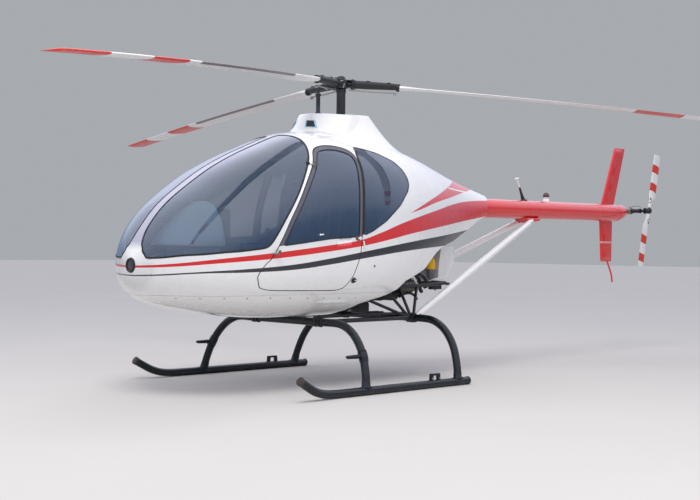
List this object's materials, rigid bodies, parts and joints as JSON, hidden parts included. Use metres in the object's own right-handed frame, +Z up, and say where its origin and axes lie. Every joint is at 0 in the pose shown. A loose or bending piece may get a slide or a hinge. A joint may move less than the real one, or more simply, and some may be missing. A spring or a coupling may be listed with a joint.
{
  "type": "light helicopter",
  "caption": "Small two-seat helicopter on skids, with a glazed egg-shaped cabin, slim tail boom, main rotor and tail rotor.",
  "frame": {"origin": "on the ground under the middle of the bounding box; the main rotor mast stands at x 0.663, y -0.453 m", "axes": "+Z up, nose towards -Y, tail towards +Y, the pilot's left towards +X"},
  "size_m": [6.0169, 7.832, 2.4303],
  "materials": {
    "body_white": "gloss",
    "boom_red": "gloss",
    "fin_red": "gloss",
    "window": "polished",
    "gear_black": "gloss",
    "frame_black": "satin",
    "strut_white": "gloss",
    "blade_white": "satin",
    "steel_dark": "satin",
    "grip_black": "satin",
    "cast_metal": "satin",
    "trim_dark": "matte",
    "floor_grey": "matte",
    "seat_cloth": "matte",
    "tank_yellow": "satin",
    "lamp": "polished"
  },
  "bodies": {
    "airframe": {"cabin_shell": "body_white", "belly_panel": "body_white", "tail_fairing": "body_white", "roof_pylon": "body_white", "rear_cowl": "body_white", "windshield_left": "window", "windshield_right": "window", "rear_glass_left": "window", "rear_glass_right": "window", "cabin_floor": "floor_grey", "rear_bulkhead": "floor_grey", "seat_base": "body_white", "seat_cushion_left": "seat_cloth", "seat_cushion_right": "seat_cloth", "seat_back_left": "seat_cloth", "seat_back_right": "seat_cloth", "instrument_console": "trim_dark", "belly_box": "trim_dark", "centre_tube": "frame_black", "control_stick": "frame_black", "engine_frame": "frame_black", "engine_block": "cast_metal", "transmission": "cast_metal", "tail_gearbox": "cast_metal", "oil_tank": "tank_yellow", "front_cross_tube": "gear_black", "rear_cross_tube": "gear_black", "skid_left": "gear_black", "skid_right": "gear_black", "tail_boom": "boom_red", "upper_fin": "fin_red", "lower_fin": "fin_red", "strut_left": "strut_white", "strut_right": "strut_white", "antenna": "strut_white", "beacon": "lamp", "landing_light": "lamp", "control_tube": "steel_dark"},
    "main_rotor": {"mast": "steel_dark", "rotor_hub": "steel_dark", "blade_grip_1": "grip_black", "blade_grip_2": "grip_black", "blade_grip_3": "grip_black", "main_blade_1": "blade_white", "main_blade_2": "blade_white", "main_blade_3": "blade_white"},
    "tail_rotor": {"tail_rotor_hub": "steel_dark", "tail_blade_1": "blade_white", "tail_blade_2": "blade_white"},
    "door_left": {"door_left": "body_white", "door_glass_left": "window"},
    "door_right": {"door_right": "body_white", "door_glass_right": "window"}
  },
  "joints": [
    {"name": "main_rotor_spin", "type": "hinge", "parent": "airframe", "child": "main_rotor", "pos_m": [0.663, -0.453, 2.368], "axis": [0, 0, 1], "continuous": true},
    {"name": "tail_rotor_spin", "type": "hinge", "parent": "airframe", "child": "tail_rotor", "pos_m": [0.913, 3.712, 1.458], "axis": [1, 0, 0], "continuous": true},
    {"name": "door_left_hinge", "type": "hinge", "parent": "airframe", "child": "door_left", "pos_m": [1.211, -1.224, 1.663], "axis": [0.1515, -0.5609, -0.8139], "range_deg": [0, 65]},
    {"name": "door_right_hinge", "type": "hinge", "parent": "airframe", "child": "door_right", "pos_m": [0.115, -1.224, 1.663], "axis": [0.1515, 0.5609, 0.8139], "range_deg": [0, 65]}
  ]
}
